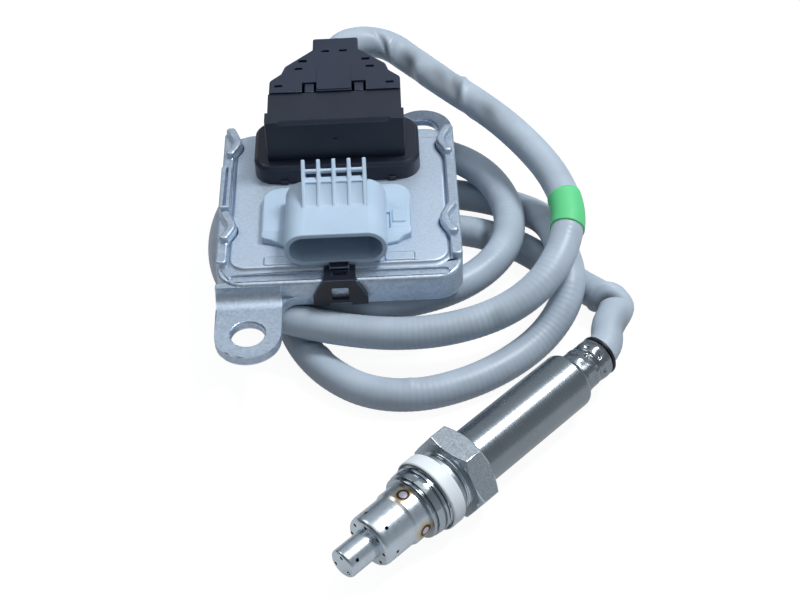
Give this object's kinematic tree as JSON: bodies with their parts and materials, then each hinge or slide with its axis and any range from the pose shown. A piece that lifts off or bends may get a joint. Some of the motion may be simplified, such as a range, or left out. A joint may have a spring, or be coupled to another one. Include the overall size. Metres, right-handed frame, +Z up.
{
  "type": "nitrogen oxide sensor",
  "caption": "Exhaust gas sensor: a cast control unit with a connector header and a cable boot, joined by a coiled conduit to a threaded stainless probe.",
  "frame": {"origin": "middle of the rigid pieces' box at the ground, without the free conduit and its tape", "axes": "+Z up; the control unit's header faces -Y; the probe lies in front, pointing to -X -Y"},
  "size_m": [0.1226, 0.1912, 0.0501],
  "materials": {
    "cast_aluminium": "cast",
    "cover_aluminium": "satin",
    "grey_plastic": "satin",
    "black_plastic": "satin",
    "seal_rubber": "matte",
    "board_laminate": "satin",
    "chip_plastic": "matte",
    "contact_metal": "bright",
    "wire_insulation": "gloss",
    "clip_steel": "satin",
    "conduit_plastic": "matte",
    "tape_plastic": "satin",
    "stainless": "brushed",
    "turned_steel": "turned",
    "plated_steel": "plated",
    "white_plastic": "satin",
    "ceramic": "matte",
    "talc": "matte",
    "pad_rubber": "matte"
  },
  "bodies": {
    "sensor": {"housing_base": "cast_aluminium", "cover_plate": "cover_aluminium", "circuit_board": "board_laminate", "board_chips": "chip_plastic", "board_capacitors": "ceramic", "thermal_pad": "pad_rubber", "connector_header": "grey_plastic", "header_pins": "contact_metal", "header_seal": "seal_rubber", "boot_base": "black_plastic", "boot_cap": "black_plastic", "boot_seal": "seal_rubber", "boot_contacts": "contact_metal", "boot_wires": "wire_insulation", "cable_grommet": "seal_rubber", "front_clip": "clip_steel", "outer_protection_tube": "stainless", "inner_protection_tube": "stainless", "seat_body": "turned_steel", "ceramic_element": "ceramic", "front_bush": "ceramic", "talc_ring": "talc", "rear_bush": "ceramic", "contact_holder": "ceramic", "sensor_sleeve": "stainless", "crimp_ferrule": "stainless", "ferrule_grommet": "seal_rubber", "conduit_seal": "seal_rubber", "lead_wires": "wire_insulation", "cable": "conduit_plastic", "marker_tape": "tape_plastic"},
    "screw": {"hex_screw": "plated_steel", "thread_guard": "white_plastic"}
  },
  "joints": [
    {"name": "screw_swivel", "type": "hinge", "parent": "sensor", "child": "screw", "pos_m": [0.00717, -0.05794, 0.011], "axis": [0.7193, 0.6947, 0], "continuous": true}
  ]
}
